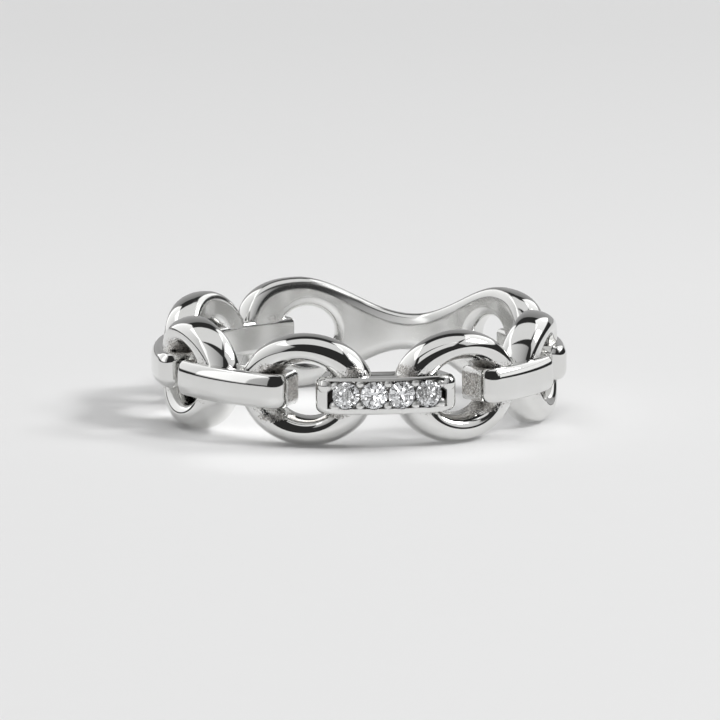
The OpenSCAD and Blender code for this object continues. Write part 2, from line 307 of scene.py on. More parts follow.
def sprayedStudioBoard():
    # Matt studio board, sprayed: even tone with a faint grain and hardly any gloss, with painted
    # shade making it a little darker towards the back
    look = {
        "front": "#E2E2E2",
        "back": "#D8D8D8",
        "paintedFalloff": (0.04, 0.13),  # painted shade: metres behind the ring, from the front tone to the darker back tone
        "grainMm": 2.0,
        "grainShade": 0.06,
        "roughness": 0.9,
        "gloss": 0.1,
    }
    material, tree = newMaterial("paleBoardMatt")
    place = addNode(tree, "ShaderNodeTexCoord")
    grain = addNode(tree, "ShaderNodeTexNoise",
                    values={"Scale": 1 / (look["grainMm"] * mm), "Detail": 2.0},
                    links={"Vector": place.outputs["Object"]})
    depth = addNode(tree, "ShaderNodeVectorMath", {"operation": "DOT_PRODUCT"}, {1: heading(180)},
                    {0: place.outputs["Object"]})
    # painted shade: the board darkens with its distance behind the ring
    far = addNode(tree, "ShaderNodeMapRange", None,
                  {"From Min": look["paintedFalloff"][0], "From Max": look["paintedFalloff"][1]},
                  {"Value": depth.outputs["Value"]})
    shade = addNode(tree, "ShaderNodeMath", {"operation": "MULTIPLY_ADD"}, {1: look["grainShade"]},
                    {0: grain.outputs["Fac"], 2: far.outputs["Result"]})
    tone = addNode(tree, "ShaderNodeMix", {"data_type": "RGBA"},
                   {6: hexToLinear(look["front"]), 7: hexToLinear(look["back"])},
                   {0: shade.outputs["Value"]})
    shader = addNode(tree, "ShaderNodeBsdfPrincipled", None,
                     {"Roughness": look["roughness"], "Specular IOR Level": look["gloss"]},
                     {"Base Color": tone.outputs[2]})
    addNode(tree, "ShaderNodeOutputMaterial", links={"Surface": shader.outputs["BSDF"]})
    return material


whiteGold = polishedWhiteGold()
clearStone = cutClearStone()
print("materials made")


linkForm = {
    "height": 5.95,
    "thick": 1.85,
    "holeHeight": 2.8,
    "holeLength": 3.6,
    "halfAngle": 22.3,
    "widest": 0.3,  # where the wire is widest, as a share of its thickness
    "boreRound": 0.42,  # width of the rounding at the bore
    "overBore": 0.01,  # the wires' inner faces lie this much further out than the bars'
    "rays": 120,  # points round the hole, and from it to the rim on each face
    "across": 26,
}
linkR = boreR + linkForm["thick"]
wireW = (linkForm["height"] - linkForm["holeHeight"]) / 2

# the skin left in the corners over and under the bars: how much, up to which height, and from
# which angle to which, counted from the link's middle, each with the width of its soft edge
cornerMarks = {
    "left": 0.42,
    "height": 1.7,
    "heightFade": 0.7,
    "from": 5,
    "fromFade": 4,
    "to": 20.5,
    "toFade": 6,
}
# places where the wheel missed more of the skin: the angle from the link's middle, the height,
# half of the place's size both ways, and how much is left
missedSpots = {
    "link_front": [(-9.0, 1.05, 5.0, 0.42, 0.58), (15.5, 1.2, 2.6, 0.35, 0.58),
                   (-9.4, -1.45, 4.5, 0.25, 0.56), (10.0, -1.15, 4.0, 0.22, 0.52)],
    "link_right": [(-18.6, 1.12, 2.6, 0.34, 0.58), (7.4, 1.02, 4.2, 0.34, 0.58),
                   (6.5, -1.2, 5.0, 0.26, 0.58)],
    "link_left": [(-6.5, 1.0, 4.5, 0.7, 0.58)],
}


def cornerSkin(angle, z, spots=()):
    c = cornerMarks
    over = smooth((c["height"] - np.abs(z)) / c["heightFade"])
    beside = smooth((np.abs(angle) - c["from"]) / c["fromFade"])
    beside *= smooth((c["to"] - np.abs(angle)) / c["toFade"])
    skin = c["left"] * over * beside
    for at, height, wide, high, left in spots:
        far = np.hypot((angle - at) / wide, (z - height) / high)
        skin = np.maximum(skin, left * smooth(1.6 - far))  # fades from 0.6 to 1.6 of its size
    return skin


def wireFaces(edge, hole, crown, boreRound):
    # radii of a wire's outer and inner face, by the distances from the rim and from the hole
    middle = mix(boreR, crown, linkForm["widest"])
    rise = roundEdge(edge, wireW / 2) * roundEdge(hole, wireW / 2)
    fall = roundEdge(edge, boreRound) * roundEdge(hole, boreRound)
    return mix(middle, crown, rise), mix(middle, boreR + linkForm["overBore"], fall)


def makeLink(name, at):
    f = linkForm
    psi = np.radians(np.arange(f["rays"]) * 360 / f["rays"])[:, None]
    k = np.arange(2 * f["across"])[None, :]
    onOuter = k < f["across"]
    step = np.where(onOuter, k, 2 * f["across"] - k)
    share = (1 - np.cos(np.pi * step / f["across"])) / 2
    arcLength = math.radians(f["halfAngle"]) * (boreR + linkR) / 2
    width = mix(wireW, arcLength - f["holeLength"] / 2, np.cos(psi) ** 2)
    outer, inner = wireFaces((1 - share) * width, share * width, linkR, f["boreRound"])
    radius = np.where(onOuter, outer, inner)
    holeAngle = np.degrees(np.arcsin(f["holeLength"] / 2 * np.cos(psi) / radius))
    angle = mix(holeAngle, f["halfAngle"] * np.cos(psi), share)
    z = mix(f["holeHeight"] / 2, f["height"] / 2, share) * np.sin(psi)
    points = polar(radius, angle + at, z).reshape(-1, 3)
    obj = outwards(meshObject(name + "Wire", points, closedGrid(f["rays"], 2 * f["across"])))
    spots = missedSpots.get(name, ())
    return markPoints(obj, lambda r, a, z: cornerSkin(angleFrom(a, at), z, spots))


for node, at in linkAngles.items():
    finishPiece(makeLink(node, at), whiteGold, node)
print("round links made:", len(linkAngles))


barForm = {
    "height": 1.85,
    "thick": 2.35,
    "strap": 0.8,
    "rail": 0.5,
    "end": 5.3,  # degrees from the middle of a link's hole to the bar's end, and to its slot
    "slotEnd": 10.2,
    "strapEdge": 0.38,  # each edge's rounding, and how far it reaches down from the top
    "strapDrop": 0.6,
    "endEdge": 0.36,
    "endDrop": 0.45,
    "boreEdge": 0.3,
    "boreDrop": 0.3,
    "slotEdge": 0.05,
    "firstCorner": 0.75,  # the strap's corners, at the end with the smaller angle and at the other
    "lastCorner": 0.75,
    "boreCorner": 0.1,
    "slotCorner": 0.14,
    "leastCorner": 0.002,
    "pillow": 0.0,  # extra rounding of the strap's ends, and over which length
    "pillowLength": 1.0,
    "lift": 0.0,  # how far the bar stands above the ring's middle
    "flatR": 9.8,  # the bar's plan is laid out flat at this radius
    "along": 44,  # points on each long side, at each corner and on each short side
    "corner": 9,
    "short": 7,
    "wallRows": (0.0, 0.5, 0.9),  # rows up the wall and over the top, as shares, and its rounding
    "topRows": (0.06, 0.35, 0.65, 0.94),
    "edgeRows": 11,
}


def planLoop(form, x, low, high, lowCorner, first, last):
    # a rounded rectangle, clockwise from the upper left, as points and outward directions
    along, corner, short = form["along"], form["corner"], form["short"]
    points, normals = [], []

    def line(a, b, n, normal):
        for t in (np.arange(n) + 0.5) / n:
            points.append((mix(a[0], b[0], t), mix(a[1], b[1], t)))
            normals.append(normal)

    def turn(cx, cy, radius, start):
        for t in np.arange(corner) / (corner - 1):
            a = math.radians(start - 90 * t)
            points.append((cx + radius * math.cos(a), cy + radius * math.sin(a)))
            normals.append((math.cos(a), math.sin(a)))

    line((-x + first, high), (x - last, high), along, (0, 1))
    turn(x - last, high - last, last, 90)
    line((x, high - last), (x, low + lowCorner), short, (1, 0))
    turn(x - lowCorner, low + lowCorner, lowCorner, 0)
    line((x - lowCorner, low), (-x + lowCorner, low), along, (0, -1))
    turn(-x + lowCorner, low + lowCorner, lowCorner, -90)
    line((-x, low + lowCorner), (-x, high - first), short, (-1, 0))
    turn(-x + first, high - first, first, 180)
    return np.array(points), np.array(normals)


def barPoints(reach, form):
    # the bar as a frame round its slot: one row of points for each place round the frame
    f = form
    outR = boreR + f["thick"]
    toX = math.radians(1) * f["flatR"]
    halfX = (reach - f["end"]) * toX
    out, outN = planLoop(f, halfX, boreR, outR, f["boreCorner"], f["firstCorner"], f["lastCorner"])
    slot, slotN = planLoop(f, (reach - f["slotEnd"]) * toX, boreR + f["rail"], outR - f["strap"],
                           *[f["slotCorner"]] * 3)
    up = outN[:, 1]
    fromEnd = halfX - np.abs(out[:, 0])
    extra = f["pillow"] * smooth(up) * smooth(1 - fromEnd / f["pillowLength"])
    # how far down the edges reach round the frame, easing from one side to the next
    strapSide = mix(f["endDrop"], f["strapDrop"], smooth(up))
    boreSide = mix(f["endDrop"], f["boreDrop"], smooth(-up))
    edge = np.where(up > 0, strapSide, boreSide) + extra

    def inset(share):
        # the outline with its edges moved in by a share of their radii
        strap, end, bore = f["strapEdge"], f["endEdge"], f["boreEdge"]
        sums = {"boreCorner": end + bore, "firstCorner": end + strap, "lastCorner": end + strap}
        corners = [max(f[key] - share * both / 2, f["leastCorner"]) for key, both in sums.items()]
        plan, normals = planLoop(f, halfX - share * end, boreR + share * bore, outR - share * strap,
                                 *corners)
        return plan - normals * (share * extra)[:, None]

    def level(height):
        return np.full(len(out), height)

    h = f["height"] / 2
    s = f["slotEdge"]
    half = []  # (points in plan, heights) from the middle of the outer wall up and over to the slot
    for t in f["wallRows"]:
        half.append((out, t * (h - edge)))
    for a in np.radians(np.linspace(0, 90, f["edgeRows"])):
        half.append((inset(1 - math.cos(a)), h - edge * (1 - math.sin(a))))
    top = inset(1)
    lip = slot + slotN * s
    for t in f["topRows"]:
        half.append((mix(top, lip, t), level(h)))
    for a in np.radians((90, 45, 0)):
        half.append((slot + slotN * s * (1 - math.cos(a)), level(h - s * (1 - math.sin(a)))))
    half.append((slot, level(0.5 * (h - s))))
    half.append((slot, level(0.0)))
    section = half + [(plan, -height) for plan, height in reversed(half[1:-1])]
    plan = np.stack([p for p, _ in section], 1)
    z = np.stack([v for _, v in section], 1) + f["lift"]
    return plan[..., 1], plan[..., 0] / toX, z


def makeBar(name, a, b, form):
    radius, angle, z = barPoints((b - a) / 2, form)
    points = polar(radius, angle + (a + b) / 2, z)
    return outwards(meshObject(name, points.reshape(-1, 3), closedGrid(*points.shape[:2])))


barMarks = {
    "slotLeft": 0.3,
    "endReach": 0.5,  # degrees in from the end
    "endUnder": 0.6,  # how far under the strap's face the skin starts on the ends and in the slot
    "slotUnder": 0.5,
    "underFade": 0.3,
    "overBore": 0.15,  # and how far over the bore it stops
    "overFade": 0.2,
}


def barSkin(a, b, form, lowEnd, highEnd):
    # the skin is left in the slot and, where an end is rough, on the end's face, off the strap
    m = barMarks
    outR = boreR + form["thick"]
    half = (b - a) / 2 - form["end"]

    def rule(r, angle, z):
        t = angleFrom(angle, (a + b) / 2)
        rough = np.where(t < 0, lowEnd, highEnd)
        face = rough * smooth((m["endReach"] - half + np.abs(t)) / m["endReach"])
        face *= smooth((outR - m["endUnder"] - r) / m["underFade"])
        slot = smooth((outR - m["slotUnder"] - r) / m["underFade"])
        slot *= smooth((r - boreR - m["overBore"]) / m["overFade"])
        return np.maximum(face, m["slotLeft"] * slot)

    return rule


la = linkAngles
# for each bar: the angles of the two holes that it goes through, a little off where the photo's
# bar is longer, how rough its two end faces are, and what its form has of its own
barEnds = {
    "bar_front_left": (la["link_left"] - 0.6, la["link_front"] + 0.9, 0.0, 0.62,
                       {"strapDrop": 0.78, "firstCorner": 0.3}),
    "bar_right": (la["link_right"], la["link_side_right"], 0.62, 0.0, {"strapDrop": 0.66}),
    "bar_left": (la["link_side_left"], la["link_left"] + 1.2, 0.0, 0.0, {}),
    "bar_back_right": (la["link_side_right"], loopAngles[0], 0.0, 0.2, {}),
    "bar_back_left": (loopAngles[1], la["link_side_left"], 0.2, 0.0, {}),
}
for node, (a, b, lowEnd, highEnd, own) in barEnds.items():
    form = dict(barForm, **own)
    bar = makeBar(node + "Frame", a, b, form)
    markPoints(bar, barSkin(a, b, form, lowEnd, highEnd))
    finishPiece(bar, whiteGold, node)
print("plain bars made:", len(barEnds))


setForm = dict(
    barForm,
    height=1.95,
    lift=-0.04,
    end=4.45,
    strapEdge=0.14,
    strapDrop=0.2,
    endEdge=0.36,
    endDrop=0.4,
    firstCorner=0.6,
    lastCorner=0.6,
    pillow=0.26,
    pillowLength=1.2,
)
setting = {
    "diameter": 1.44,
    "step": 7.8,  # angle from one stone to the next
    "spins": (4, 17, -9, 11),  # how far each stone is turned in its seat
    "table": 0.57,  # radii of the table and of the tips of the stars and lower halves, as shares
    "starTips": 0.79,
    "lowerTips": 0.3,
    "crown": 0.2,
    "pavilion": 0.6,
    "girdle": 0.03,
    "proud": 0.06,  # how far the tables stand out of the bar
    "channelHalf": 16.8,
    "channelDepth": 0.42,
    "channelTop": 0.77,  # heights of the channel's two walls: the lower rim is the wide one
    "channelFoot": -0.7,
    "channelSteps": 41,
    "seatGap": 0.015,
    "seatSteps": 64,
    "culetGap": 0.02,
    "seatTop": 0.6,  # how far the seats' cutters stand over the girdles
    "cutterTop": 0.5,  # how far the channel's cutter stands out of the bar
    "sliver": 0.001,  # what is narrower than this after a cut is merged away
    "sharpFrom": 38,  # edges that turn more than this stay crisp
}
setMiddle = (la["link_front"] + la["link_right"]) / 2
setR = boreR + setForm["thick"]
setSlotR = setR - setForm["strap"]
girdleR = setR + setting["proud"] - setting["crown"]
stoneAngles = [setMiddle + (i - 1.5) * setting["step"] for i in range(4)]


def facing(angle, radius, z=0.0):
    # turns +Z outwards at the given angle round the finger and moves there
    a = math.radians(angle)
    out = Vector((math.sin(a), -math.cos(a), 0))
    along = Vector((math.cos(a), math.sin(a), 0))
    up = Vector((0, 0, 1))
    turn = Matrix((along, up, out)).transposed().to_4x4()
    spot = Matrix.Translation((out * radius + up * z) * mm)
    return spot @ turn


def lathe(name, profile, steps, place):
    # a closed turned shape: profile is a list of (radius, height), with radius 0 at both ends
    points, faces = [], []
    for r, h in profile:
        if r == 0:
            points.append((0, 0, h))
            continue
        for n in range(steps):
            a = 2 * math.pi * n / steps
            points.append((r * math.cos(a), r * math.sin(a), h))
    rows = len(profile) - 2
    last = len(points) - 1
    for n in range(steps):
        m = (n + 1) % steps
        faces.append((0, 1 + m, 1 + n))
        for j in range(rows - 1):
            a = 1 + j * steps
            faces.append((a + n, a + m, a + steps + m, a + steps + n))
        a = 1 + (rows - 1) * steps
        faces.append((a + n, a + m, last))
    obj = meshObject(name, points, faces)
    obj.data.transform(place)
    return outwards(obj)


def channelCutter():
    s = setting
    half = s["channelHalf"]
    low, high = setR - s["channelDepth"], setR + s["cutterTop"]
    foot, top = s["channelFoot"], s["channelTop"]
    angles = np.linspace(-half, half, s["channelSteps"])
    corners = [(low, foot), (high, foot), (high, top), (low, top)]
    points = np.concatenate([polar(r, angles + setMiddle, z) for r, z in corners])
    n = len(angles)
    faces = []
    for c in range(4):
        d = (c + 1) % 4
        for i in range(n - 1):
            faces.append((c * n + i, c * n + i + 1, d * n + i + 1, d * n + i))
    faces.append((0, n, 2 * n, 3 * n))
    faces.append((n - 1, 2 * n - 1, 3 * n - 1, 4 * n - 1))
    return outwards(meshObject("channelCutter", points, faces))


def seatCutter(angle):
    s = setting
    wall = s["diameter"] / 2 + s["seatGap"]
    low, high = -s["girdle"] - s["pavilion"], s["seatTop"]
    profile = [(0, low - s["culetGap"]), (2 * s["seatGap"], low), (wall, -s["girdle"]),
               (wall, high), (0, high)]
    return lathe("seatCutter", profile, s["seatSteps"], facing(angle, girdleR))


grainForm = {"flat": 0.8, "proud": 0.03, "rows": 17, "steps": 28}


def bead(angle, z, r, proud=grainForm["proud"]):
    # a grain of metal, pushed over the stones' edges and a little flattened
    flat = grainForm["flat"]
    turns = np.linspace(0, math.pi, grainForm["rows"])
    profile = [(r * math.sin(t), -flat * r * math.cos(t)) for t in turns]
    profile[0] = (0, -flat * r)
    profile[-1] = (0, flat * r)
    place = facing(angle, setR - flat * r + proud, z)
    return lathe("bead", profile, grainForm["steps"], place)


def combine(target, tools, operation):
    # cuts or joins the tools with the target and keeps the result as the target's own mesh
    for tool in tools:
        step = target.modifiers.new("step", "BOOLEAN")
        step.operation = operation
        step.solver = "EXACT"
        step.object = tool
    evaluated = target.evaluated_get(bpy.context.evaluated_depsgraph_get())
    mesh = bpy.data.meshes.new_from_object(evaluated)
    target.modifiers.clear()
    target.data = mesh
    work = bmesh.new()
    work.from_mesh(mesh)
    # the cuts leave slivers with no area, which are merged away, and pairs of faces back to back,
    # which are deleted
    bmesh.ops.triangulate(work, faces=work.faces)
    bmesh.ops.remove_doubles(work, verts=work.verts, dist=setting["sliver"] * mm)
    bmesh.ops.dissolve_degenerate(work, edges=work.edges, dist=setting["sliver"] * mm)
    sameCorners = {}
    for face in work.faces:
        sameCorners.setdefault(frozenset(face.verts), []).append(face)
    doubled = [face for faces in sameCorners.values() if len(faces) > 1 for face in faces]
    bmesh.ops.delete(work, geom=doubled, context="FACES")
    work.to_mesh(mesh)
    work.free()
    for tool in tools:
        bpy.data.objects.remove(tool)


def brilliant(name, angle, spin):
    # a round brilliant with its table facing outwards: 8 stars, 8 kites and 16 upper halves round
    # the table, a thin girdle, and 16 lower halves and 8 mains down to the culet
    s = setting
    r = s["diameter"] / 2
    tableR, starR, lowR = s["table"] * r, s["starTips"] * r, s["lowerTips"] * r
    slope = r - tableR
    starZ = s["crown"] * (r - starR * math.cos(math.pi / 8)) / slope
    base = -s["girdle"]
    lowZ = base - s["pavilion"] * (1 - lowR / r * math.cos(math.pi / 8))

    def ring(radius, z, count, shift):
        return [(radius * math.cos(2 * math.pi * (n + shift) / count),
                 radius * math.sin(2 * math.pi * (n + shift) / count), z) for n in range(count)]

    points = ring(tableR, s["crown"], 8, 0) + ring(starR, starZ, 8, 0.5) + ring(lowR, lowZ, 8, 0.5)
    points += ring(r, 0, 16, 0) + ring(r, base, 16, 0) + [(0, 0, base - s["pavilion"])]
    star, low, upper, lower, culet = 8, 16, 24, 40, 56  # the first point of each ring
    faces = [tuple(range(8))]
    for n in range(8):
        m, p = (n + 1) % 8, (n + 7) % 8
        g, h, e = 2 * n, 2 * n + 1, (2 * n + 2) % 16
        faces += [
            (n, m, star + n),
            (n, star + n, upper + g, star + p),
            (star + n, upper + h, upper + g),
            (star + n, upper + e, upper + h),
            (upper + g, upper + h, lower + h, lower + g),
            (upper + h, upper + e, lower + e, lower + h),
            (low + n, lower + g, lower + h),
            (low + n, lower + h, lower + e),
            (culet, low + p, lower + g, low + n),
        ]
    obj = meshObject(name, points, faces)
    obj.data.transform(facing(angle, girdleR) @ Matrix.Rotation(math.radians(spin), 4, "Z"))
    shadeSmooth(obj, False)
    return outwards(obj)


channelMarks = {
    "between": 0.6,  # how much dark skin is left between the stones, partly painted shade, and how much painted shade past the last of them
    "past": 0.95,
    "pastFrom": 14.0,  # degrees from the channel's middle
    "pastFade": 1.0,
    "under": 0.1,  # how far under the bar's face the skin starts, and down to where it's satin
    "underFade": 0.15,
    "satinUnder": 0.2,
    "seat": 0.99,  # the seats stay clean up to this share of the stones' radius
    "seatFade": 0.06,
    "endMargin": 0.05,  # degrees past the channel's ends, and mm past its walls and over the slot
    "wallMargin": 0.01,
    "slotMargin": 0.02,
}


def inChannel(r, angle, z):
    m = channelMarks
    t = np.abs(angleFrom(angle, setMiddle))
    inside = (t < setting["channelHalf"] + m["endMargin"]) & (r > setSlotR + m["slotMargin"])
    inside &= z < setting["channelTop"] + m["wallMargin"]
    return inside & (z > setting["channelFoot"] - m["wallMargin"])


def recessSkinAndShade(r, angle, z):
    # painted shade: the channel is darkened past the last stones and, with dull skin, between the
    # stones, but not in their seats
    m = channelMarks
    deep = smooth((setR - m["under"] - r) / m["underFade"])
    seat = np.full_like(r, np.inf)
    for at in stoneAngles:
        beside = np.radians(angleFrom(angle, at)) * setR
        seat = np.minimum(seat, np.hypot(beside, z) / setting["diameter"] * 2)
    free = smooth((seat - m["seat"]) / m["seatFade"])
    t = np.abs(angleFrom(angle, setMiddle))
    amount = mix(m["between"], m["past"], smooth((t - m["pastFrom"]) / m["pastFade"]))
    return np.where(inChannel(r, angle, z), amount * deep * free, 0.0)


def satinSetting(r, angle, z):
    # the grains are left satin, so they look light rather than black
    return np.where(inChannel(r, angle, z) & (r > setR - channelMarks["satinUnder"]), 1.0, 0.0)


# the grains that hold the stones: angle, height and radius of each
grains = [(10.45, 0.47, 0.27), (40.3, 0.48, 0.24), (10.4, -0.62, 0.34), (40.3, -0.56, 0.36)]
for i in (-1, 0, 1):
    between = setMiddle + i * setting["step"]
    grains += [(between, 0.62, 0.24), (between, -0.56, 0.25)]
# the frame's own raised upper corners, and how far they stand out
shoulders = [(7.5, 0.46, 0.4, 0.11), (42.8, 0.46, 0.4, 0.11)]

setBar = makeBar("bar_stone_setFrame", la["link_front"], la["link_right"], setForm)
beads = [bead(*values) for values in grains + shoulders]
combine(setBar, [channelCutter()], "DIFFERENCE")
combine(setBar, beads, "UNION")
combine(setBar, [seatCutter(angle) for angle in stoneAngles], "DIFFERENCE")
shadeSmooth(setBar)
setBar.data.set_sharp_from_angle(angle=math.radians(setting["sharpFrom"]))
markPoints(setBar, recessSkinAndShade)
markPoints(setBar, satinSetting, "mattMark")
finishPiece(setBar, whiteGold, "bar_stone_set")
stones = ["stone_%d" % (i + 1) for i in range(4)]
for node, angle, spin in zip(stones, stoneAngles, setting["spins"]):
    finishPiece(brilliant(node + "Cut", angle, spin), clearStone, node)
print("stone-set bar made, with", len(grains), "grains and", len(stones), "stones")


shankForm = {
    "loopAt": 35.0,  # the middle of a loop's hole, with angles counted from the narrow middle
    "crestAt": 38.4,  # where a loop is highest
    "loopEnd": 59.0,
    "loopSquare": 2.5,  # how square a loop's far half is: 2 is an ellipse
    "waistHeight": 1.93,
    "waistThick": 1.7,
    "bridgeEnd": 19.4,  # where the two loops' faces end and the bridge between them starts
    "boreRound": 0.6,
    "flatR": 9.6,  # the shank's plan is laid out flat at this radius
    "fine": 4,  # steps round a loop for each step of the plain solid
    "across": 28,  # steps from the hole to the edge, and along the bridge
    "bridgeSteps": 26,
    "weld": 0.002,  # points closer than this are one
    # steps of the outline that the distances to the edges are taken from
    "outlineFine": 12,
    "outlineWaist": 200,
    "outlineHole": 240,
}


def shankWave(t):
    f = shankForm
    return mix(f["waistHeight"], linkForm["height"], (1 - np.cos(np.pi * t / f["crestAt"])) / 2) / 2


def shankCrown(t):
    return mix(boreR + shankForm["waistThick"], linkR, smooth(np.abs(t) / shankForm["loopAt"]))


def loopCounts(fine):
    # rays round a loop's hole, those of the first quarter turn, the first that ends on the bridge,
    # and how many steps the bridge's end takes
    rays, quarter, rows = 32 * fine, 6 * fine, 12 * fine
    return rays, quarter, (rays - rows) // 2, rows


def loopOutline(j, rays, quarter, firstBridge, rows):
    # where a ray from the hole ends, as (angle, height)
    f = shankForm
    m = min(j, rays - j)
    up = 1 if j <= rays / 2 else -1
    if firstBridge <= j <= rays - firstBridge:
        z = shankWave(f["bridgeEnd"]) * math.cos(math.pi * (j - firstBridge) / rows)
        return f["bridgeEnd"], z
    if m <= quarter:
        turn = math.radians(90 * m / quarter)
        far = abs(math.cos(turn)) ** (2 / f["loopSquare"])
        high = abs(math.sin(turn)) ** (2 / f["loopSquare"])
        return mix(f["crestAt"], f["loopEnd"], far), up * linkForm["height"] / 2 * high
    t = mix(f["crestAt"], f["bridgeEnd"], (m - quarter) / (firstBridge - quarter))
    return t, up * shankWave(t)


def nearest(points, line, atOnce=2000):
    # distance from each point to a closed line of points
    found = np.empty(len(points))
    step = np.roll(line, -1, 0) - line
    size = (step ** 2).sum(1)
    for first in range(0, len(points), atOnce):
        block = points[first:first + atOnce, None]
        t = np.clip(((block - line) * step).sum(2) / size, 0, 1)
        gap = block - line - t[..., None] * step
        found[first:first + atOnce] = np.sqrt((gap ** 2).sum(2)).min(1)
    return found


def makeShank(name):
    f = shankForm
    toX = math.radians(1) * f["flatR"]
    holeH, holeL = linkForm["holeHeight"] / 2, linkForm["holeLength"] / 2

    # the outline and the two holes as closed lines
    counts = loopCounts(f["outlineFine"])
    outline = [loopOutline(j, *counts) for j in range(counts[0])]
    upper = [p for p in outline if p[1] >= 0 and p[0] > f["bridgeEnd"] + 1e-6]
    upper.sort(key=lambda p: math.atan2(p[1], p[0] - f["crestAt"]))
    waistAngles = np.linspace(f["bridgeEnd"], -f["bridgeEnd"], f["outlineWaist"])
    waist = [(t, float(shankWave(t))) for t in waistAngles]
    top = upper + waist + [(-t, z) for t, z in reversed(upper)]
    line = np.array(top + [(t, -z) for t, z in reversed(top[1:-1])]) * (toX, 1)
    ring = np.radians(np.arange(f["outlineHole"]) * 360 / f["outlineHole"])
    holeT = f["loopAt"] + np.degrees(np.arcsin(holeL * np.cos(ring) / linkR))
    holes = [np.stack([s * holeT * toX, holeH * np.sin(ring)], 1) for s in (1, -1)]

    # the points in plan: rays round each hole, then rows along the bridge between the loops
    rays, quarter, firstBridge, rows = loopCounts(f["fine"])
    plan, onEdge, onHole = [], [], []
    share = (1 - np.cos(np.pi * np.arange(f["across"] + 1) / f["across"])) / 2

    for sideways in (1, -1):
        for j in range(rays):
            m = min(j, rays - j)
            turn = 90 * m / quarter
            if m > quarter:
                turn = 90 + 90 * (m - quarter) / (rays / 2 - quarter)
            turn = math.radians(turn if j <= rays / 2 else -turn)
            goal = loopOutline(j, rays, quarter, firstBridge, rows)
            startT = f["loopAt"] + math.degrees(math.asin(holeL * math.cos(turn) / linkR))
            bridge = firstBridge < j < rays - firstBridge
            for k in range(f["across"] + 1):
                plan.append((sideways * mix(startT, goal[0], share[k]),
                             mix(holeH * math.sin(turn), goal[1], share[k])))
                onHole.append(k == 0)
                onEdge.append(k == f["across"] and not bridge)
    loopCount = rays * (f["across"] + 1)
    for c in range(f["bridgeSteps"] + 1):
        t = mix(f["bridgeEnd"], -f["bridgeEnd"], c / f["bridgeSteps"])
        for i in range(rows + 1):
            plan.append((t, float(shankWave(t)) * math.cos(math.pi * i / rows)))
            onHole.append(False)
            onEdge.append(i in (0, rows))
    plan = np.array(plan)
    flat = plan * (toX, 1)
    edge = np.where(onEdge, 0, nearest(flat, line))
    hole = np.where(onHole, 0, np.minimum(nearest(flat, holes[0]), nearest(flat, holes[1])))
    radii = wireFaces(edge, hole, shankCrown(plan[:, 0]), f["boreRound"])
    points = np.concatenate([polar(r, 180 + plan[:, 0], plan[:, 1]) for r in radii])
    faces = []
    for skin in (0, len(plan)):
        for part in (0, 1):
            start = skin + part * loopCount
            for j in range(rays):
                for k in range(f["across"]):
                    a = start + j * (f["across"] + 1) + k
                    b = start + ((j + 1) % rays) * (f["across"] + 1) + k
                    faces.append((a, b, b + 1, a + 1))
        start = skin + 2 * loopCount
        for c in range(f["bridgeSteps"]):
            for i in range(rows):
                a = start + c * (rows + 1) + i
                b = a + rows + 1
                faces.append((a, b, b + 1, a + 1))
    obj = meshObject(name, points, faces)
    work = bmesh.new()
    work.from_mesh(obj.data)
    bmesh.ops.remove_doubles(work, verts=work.verts, dist=f["weld"] * mm)
    bmesh.ops.recalc_face_normals(work, faces=work.faces)
    openEdges = sum(1 for e in work.edges if not e.is_manifold)
    work.to_mesh(obj.data)
    work.free()
    shadeSmooth(obj)
    print("shank made, open edges:", openEdges)

    def rule(r, angle, z):
        t = np.abs(angleFrom(angle, 180))
        return np.where(t > f["loopAt"], cornerSkin(t - f["loopAt"], z), 0.0)

    return markPoints(obj, rule)


finishPiece(makeShank("shankWaisted"), whiteGold, "shank")


studio = {
    "floorHalf": 1.5,
    "room": 0.03,  # the dark room round the lights
    "feather": 0.04,  # share of a softbox over which its light fades at the edges
    "scale": 2.4,  # the softboxes' places and sizes below are all multiplied by this
    "unshaded": ["floorFill"],  # softboxes in whose light the ring casts no shadow
    "poolHigh": 0.1,  # how high over the floor the pools' spots stand
}
ringSet = list(pieces)
sideSet = ["link_left", "link_side_left", "link_side_right", "shank", "bar_back_left",
           "bar_back_right"]
stoneSet = ["bar_stone_set"] + stones
even = (1, 1)
